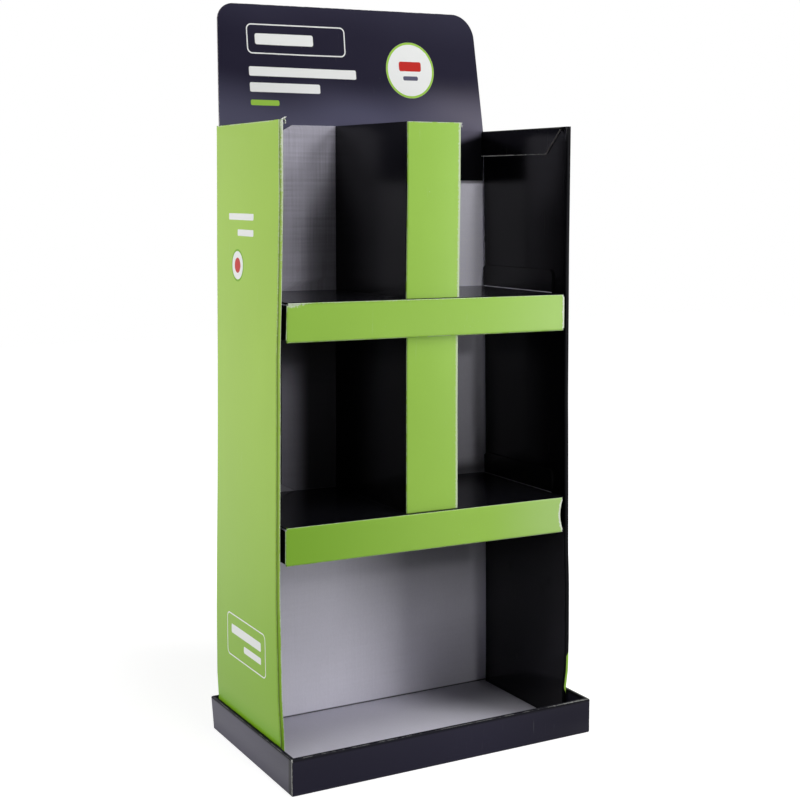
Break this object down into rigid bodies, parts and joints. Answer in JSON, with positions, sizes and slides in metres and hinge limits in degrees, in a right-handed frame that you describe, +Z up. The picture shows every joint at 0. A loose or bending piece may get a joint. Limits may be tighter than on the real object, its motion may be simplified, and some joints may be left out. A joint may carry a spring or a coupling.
{
  "type": "floor display stand",
  "caption": "Floor-standing cardboard display with a base tray, doubled side walls, folded shelves with fascias, a central column and a rounded header card.",
  "frame": {"origin": "middle of the tray's underside, on the ground", "axes": "+X to the display's right seen from the front, +Y from the front to the back, +Z up"},
  "size_m": [0.6, 0.3598, 1.324],
  "materials": {
    "green_print": "gloss green print on corrugated board, black on the inner faces",
    "navy_print": "gloss dark navy print on corrugated board",
    "raw_board": "bare light grey liner"
  },
  "bodies": {
    "root": {"base_tray": "navy_print", "body_wrap": "green_print", "header_card": "navy_print", "upper_shelf": "green_print", "lower_shelf": "green_print", "upper_column": "green_print", "lower_column": "green_print"}
  },
  "joints": []
}
